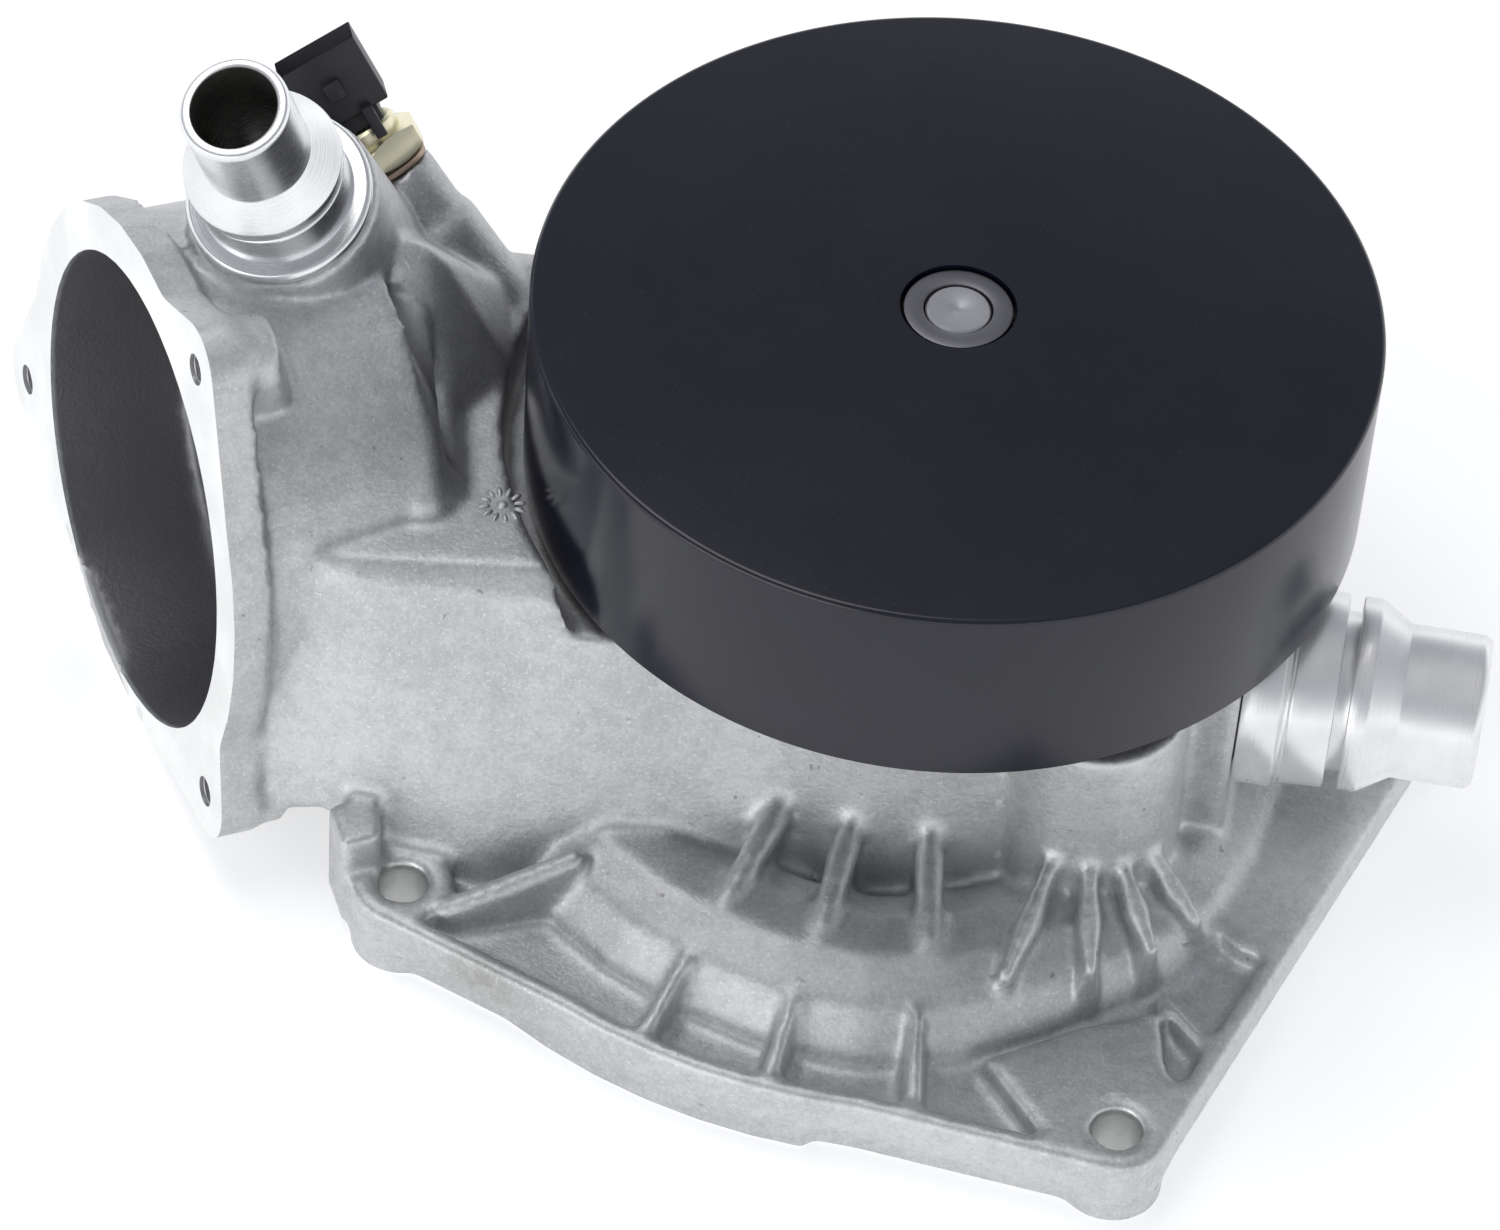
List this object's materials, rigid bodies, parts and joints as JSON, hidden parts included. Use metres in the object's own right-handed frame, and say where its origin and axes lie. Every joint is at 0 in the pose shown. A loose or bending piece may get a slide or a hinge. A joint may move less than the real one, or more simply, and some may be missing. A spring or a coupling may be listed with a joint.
{
  "type": "engine coolant pump",
  "caption": "Belt driven engine coolant pump: cast volute housing with thermostat mouth, hose spigots, temperature sensor, sealed shaft bearing, impeller and flat black pulley.",
  "frame": {"origin": "centre of the bottom of the bounding box, on the mounting face", "axes": "+Z along the shaft from the mounting face to the pulley, +X towards the outlet hose spigot, away from the thermostat mouth"},
  "size_m": [0.2944, 0.241, 0.1517],
  "materials": {
    "cast_aluminium": "sand cast aluminium, fine grain, slightly stained",
    "machined_aluminium": "turned aluminium with fine tool lines",
    "black_enamel": "smooth satin black enamel",
    "hub_steel": "turned steel",
    "bearing_steel": "ground bearing steel",
    "cage_plastic": "moulded nylon",
    "seal_rubber": "black rubber",
    "seal_carbon": "lapped carbon",
    "seal_steel": "pressed stainless steel",
    "impeller_metal": "cast impeller, bead blasted",
    "brass": "turned brass",
    "copper": "soft copper washer",
    "plug_plastic": "black moulded plastic",
    "terminal_tin": "tinned contact"
  },
  "bodies": {
    "housing": {"pump_housing": "cast_aluminium", "upper_hose_spigot": "machined_aluminium", "upper_spigot_o_ring": "seal_rubber", "outlet_hose_spigot": "machined_aluminium", "outlet_spigot_o_ring": "seal_rubber", "sensor_body": "brass", "sensor_seal_washer": "copper", "sensor_plug_housing": "plug_plastic", "sensor_terminal_1": "terminal_tin", "sensor_terminal_2": "terminal_tin", "bearing_outer_race": "bearing_steel", "bearing_front_seal": "seal_rubber", "bearing_rear_seal": "seal_rubber", "seal_cup": "seal_steel", "seal_stationary_ring": "seal_carbon", "seal_spring": "seal_steel"},
    "rotor": {"pulley": "black_enamel", "pulley_hub": "hub_steel", "pump_shaft": "bearing_steel", "seal_rotating_ring": "seal_steel", "impeller": "impeller_metal"},
    "ball_row": {"ball_cage": "cage_plastic", "ball_1": "bearing_steel", "ball_2": "bearing_steel", "ball_3": "bearing_steel", "ball_4": "bearing_steel", "ball_5": "bearing_steel", "ball_6": "bearing_steel", "ball_7": "bearing_steel", "ball_8": "bearing_steel"},
    "roller_row": {"roller_cage": "cage_plastic", "roller_1": "bearing_steel", "roller_2": "bearing_steel", "roller_3": "bearing_steel", "roller_4": "bearing_steel", "roller_5": "bearing_steel", "roller_6": "bearing_steel", "roller_7": "bearing_steel", "roller_8": "bearing_steel"}
  },
  "joints": [
    {"name": "rotor_spin", "type": "hinge", "parent": "housing", "child": "rotor", "pos_m": [0.03913, 0.00651, 0], "axis": [0, 0, 1], "continuous": true},
    {"name": "ball_cage_spin", "type": "hinge", "parent": "housing", "child": "ball_row", "pos_m": [0.03913, 0.00651, 0], "axis": [0, 0, 1], "continuous": true},
    {"name": "roller_cage_spin", "type": "hinge", "parent": "housing", "child": "roller_row", "pos_m": [0.03913, 0.00651, 0], "axis": [0, 0, 1], "continuous": true}
  ],
  "couplings": [
    {"joint": "ball_cage_spin", "follows": "rotor_spin", "ratio": 0.3333},
    {"joint": "roller_cage_spin", "follows": "rotor_spin", "ratio": 0.3333}
  ]
}
